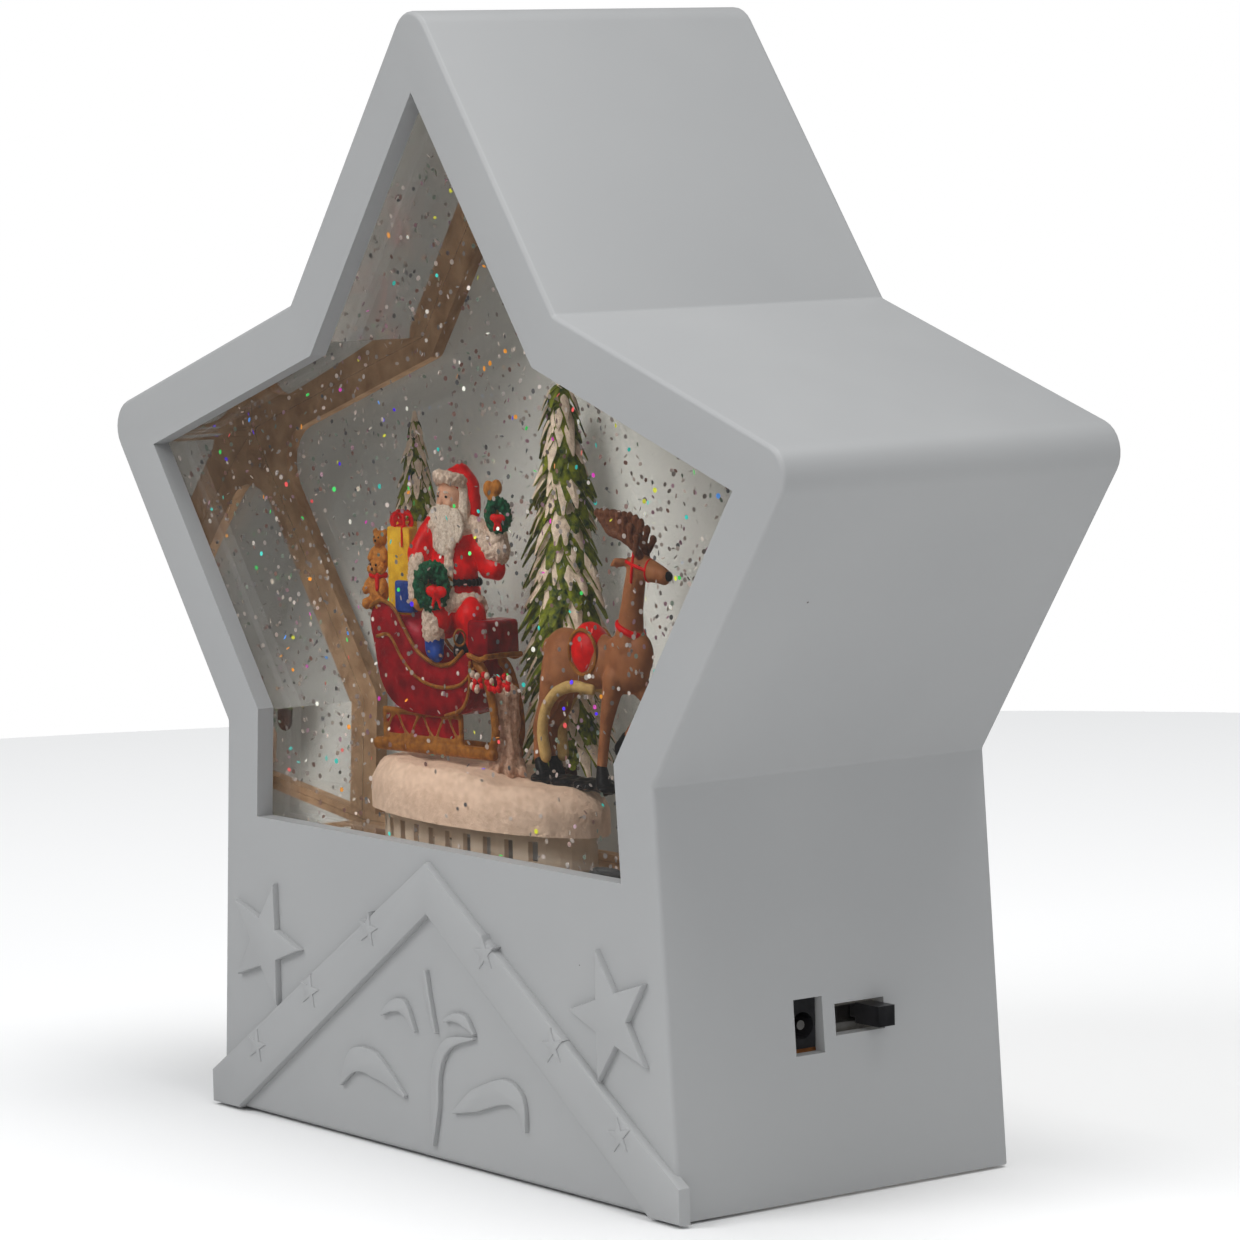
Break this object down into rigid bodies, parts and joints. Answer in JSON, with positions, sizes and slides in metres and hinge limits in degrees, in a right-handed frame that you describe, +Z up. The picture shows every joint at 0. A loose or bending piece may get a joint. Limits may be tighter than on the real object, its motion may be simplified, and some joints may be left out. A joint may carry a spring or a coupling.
{
  "type": "glitter water lantern",
  "caption": "Star-shaped liquid-filled glitter lantern on a flat base, with a winter sleigh scene behind a clear front and a motor-driven swirl.",
  "frame": {"origin": "on the surface it stands on, below the middle of its bounding box", "axes": "+X to the right seen from the front, +Y to the back, +Z up"},
  "size_m": [0.2438, 0.0874, 0.2399],
  "materials": {
    "white_plastic": "matte, fine moulded grain",
    "grey_plastic": "matte",
    "black_plastic": "satin",
    "clear_plastic": "clear, polished",
    "black_rubber": "matte",
    "steel": "plated",
    "board": "bare phenolic board",
    "copper_wire": "red insulation",
    "magnet": "nickel plated",
    "snow": "painted, warm white",
    "sleigh_red": "painted crimson",
    "golden": "painted gold brown",
    "coat_red": "painted red",
    "skin": "painted",
    "gift_paint": "painted yellow",
    "blue_paint": "painted blue",
    "brown_paint": "painted brown",
    "teddy_paint": "painted orange brown",
    "tree_green": "painted dark green"
  },
  "bodies": {
    "lantern": {"front_shell": "white_plastic", "back_cover": "white_plastic", "base_plate": "white_plastic", "cover_screw_1": "steel", "cover_screw_2": "steel", "cover_screw_3": "steel", "cover_screw_4": "steel", "cover_screw_5": "steel", "base_screw_1": "steel", "base_screw_2": "steel", "rubber_foot_1": "black_rubber", "rubber_foot_2": "black_rubber", "rubber_foot_3": "black_rubber", "rubber_foot_4": "black_rubber", "tank_tub": "clear_plastic", "tank_front_panel": "clear_plastic", "tank_seal": "clear_plastic", "fill_plug": "black_rubber", "motor_bracket": "grey_plastic", "motor_can": "steel", "impeller_pin": "steel", "impeller_grille": "clear_plastic", "main_board": "board", "dc_jack": "black_plastic", "dc_jack_pin": "steel", "slide_switch_body": "steel", "led_board": "board", "led": "clear_plastic", "battery_tray": "grey_plastic", "contact_spring_1": "steel", "contact_spring_2": "steel", "contact_spring_3": "steel", "contact_plate_1": "steel", "contact_plate_2": "steel", "contact_plate_3": "steel", "battery_lead": "copper_wire", "motor_lead": "copper_wire", "snow_ground": "snow", "sleigh_body": "sleigh_red", "runner_near": "golden", "runner_far": "golden", "support_post": "snow", "driver_body": "coat_red", "driver_head": "skin", "driver_hat": "coat_red", "gift_box": "gift_paint", "gift_bag": "blue_paint", "teddy_bear_1": "teddy_paint", "teddy_bear_2": "teddy_paint", "reindeer": "brown_paint", "tree_tall": "tree_green", "tree_small": "tree_green"},
    "battery_door": {"battery_door": "white_plastic"},
    "switch_slider": {"switch_knob": "black_plastic"},
    "motor_rotor": {"motor_shaft": "steel", "magnet_carrier": "black_plastic", "drive_magnet_1": "magnet", "drive_magnet_2": "magnet"},
    "impeller_rotor": {"impeller": "white_plastic", "impeller_magnet": "magnet"}
  },
  "joints": [
    {"name": "switch_slide", "type": "slide", "parent": "lantern", "child": "switch_slider", "axis": [0, 1, 0], "range_m": [-0.0076, 0]},
    {"name": "battery_door_hinge", "type": "hinge", "parent": "lantern", "child": "battery_door", "pos_m": [0, 0.042, 0.0079], "axis": [-1, 0, 0], "range_deg": [0, 80]},
    {"name": "motor_spin", "type": "hinge", "parent": "lantern", "child": "motor_rotor", "pos_m": [0, -0.009, 0.052], "axis": [0, 0, 1], "continuous": true},
    {"name": "impeller_spin", "type": "hinge", "parent": "lantern", "child": "impeller_rotor", "pos_m": [0, -0.009, 0.065], "axis": [0, 0, 1], "continuous": true}
  ],
  "couplings": [
    {"joint": "impeller_spin", "follows": "motor_spin", "ratio": 1}
  ]
}
